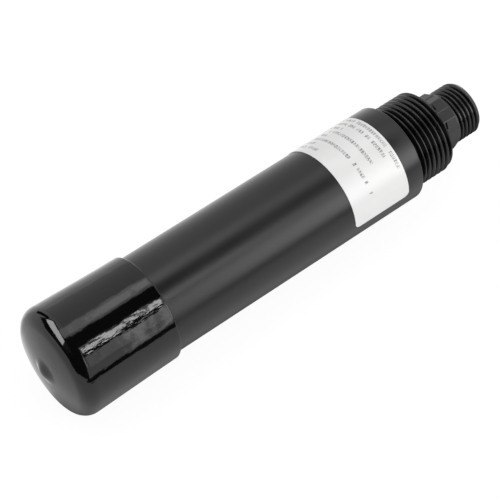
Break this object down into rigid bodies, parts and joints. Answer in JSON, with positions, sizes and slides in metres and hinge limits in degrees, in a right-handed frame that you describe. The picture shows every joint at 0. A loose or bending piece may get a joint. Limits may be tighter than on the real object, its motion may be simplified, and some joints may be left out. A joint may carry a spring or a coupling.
{
  "type": "chlorophyll sensor",
  "caption": "Round black optical water probe with a pipe-thread neck, a small threaded tail connector, a pale label band and a soft slip-on end cap.",
  "frame": {"origin": "on the axis, at the middle of the full turns of the mounting thread", "axes": "+X along the axis towards the tail connector, +Z towards the middle of the label"},
  "size_m": [0.1565, 0.0342, 0.0342],
  "materials": {
    "cap_vinyl": "glossy dipped soft vinyl",
    "body_plastic": "satin turned black plastic",
    "label_film": "satin silver-white film",
    "head_plastic": "satin turned black plastic",
    "seal_rubber": "smooth black rubber",
    "window_glass": "polished clear glass",
    "retainer_plastic": "satin turned black plastic",
    "block_plastic": "matt black plastic",
    "screw_steel": "plain steel",
    "led_epoxy": "clear blue epoxy",
    "lens_glass": "polished clear glass",
    "blue_glass": "polished blue filter glass",
    "red_glass": "polished red filter glass",
    "can_metal": "plain metal can",
    "board_green": "green solder mask",
    "chip_black": "matt moulded black",
    "guide_plastic": "matt black plastic",
    "inductor_grey": "dull dark ferrite",
    "header_white": "matt off-white plastic",
    "wire_red": "smooth insulation",
    "wire_black": "smooth insulation",
    "wire_yellow": "smooth insulation",
    "wire_blue": "smooth insulation",
    "connector_plastic": "satin moulded black nylon",
    "insert_plastic": "matt moulded black",
    "pin_gold": "gold-plated brass"
  },
  "bodies": {
    "sensor": {"housing": "body_plastic", "label": "label_film", "optical_head": "head_plastic", "head_o_ring_front": "seal_rubber", "head_o_ring_rear": "seal_rubber", "window": "window_glass", "window_seal": "seal_rubber", "window_retainer": "retainer_plastic", "optics_block": "block_plastic", "block_screws": "screw_steel", "excitation_led": "led_epoxy", "excitation_lens": "lens_glass", "excitation_filter": "blue_glass", "photodiode": "can_metal", "detector_lens": "lens_glass", "emission_filter": "red_glass", "optics_board": "board_green", "optics_board_screws": "screw_steel", "board_link": "chip_black", "main_board": "board_green", "front_board_guide": "guide_plastic", "rear_board_guide": "guide_plastic", "controller_chip": "chip_black", "amplifier_chip": "chip_black", "transceiver_chip": "chip_black", "power_inductor": "inductor_grey", "storage_capacitors": "can_metal", "wire_header": "header_white", "wire_red": "wire_red", "wire_black": "wire_black", "wire_yellow": "wire_yellow", "wire_blue": "wire_blue", "connector_shell": "connector_plastic", "connector_insert": "insert_plastic", "contact_pins": "pin_gold", "connector_gasket": "seal_rubber"},
    "cap": {"protective_cap": "cap_vinyl"}
  },
  "joints": [
    {"name": "cap_pull", "type": "slide", "parent": "sensor", "child": "cap", "axis": [-1, 0, 0], "range_m": [0, 0.04]}
  ]
}
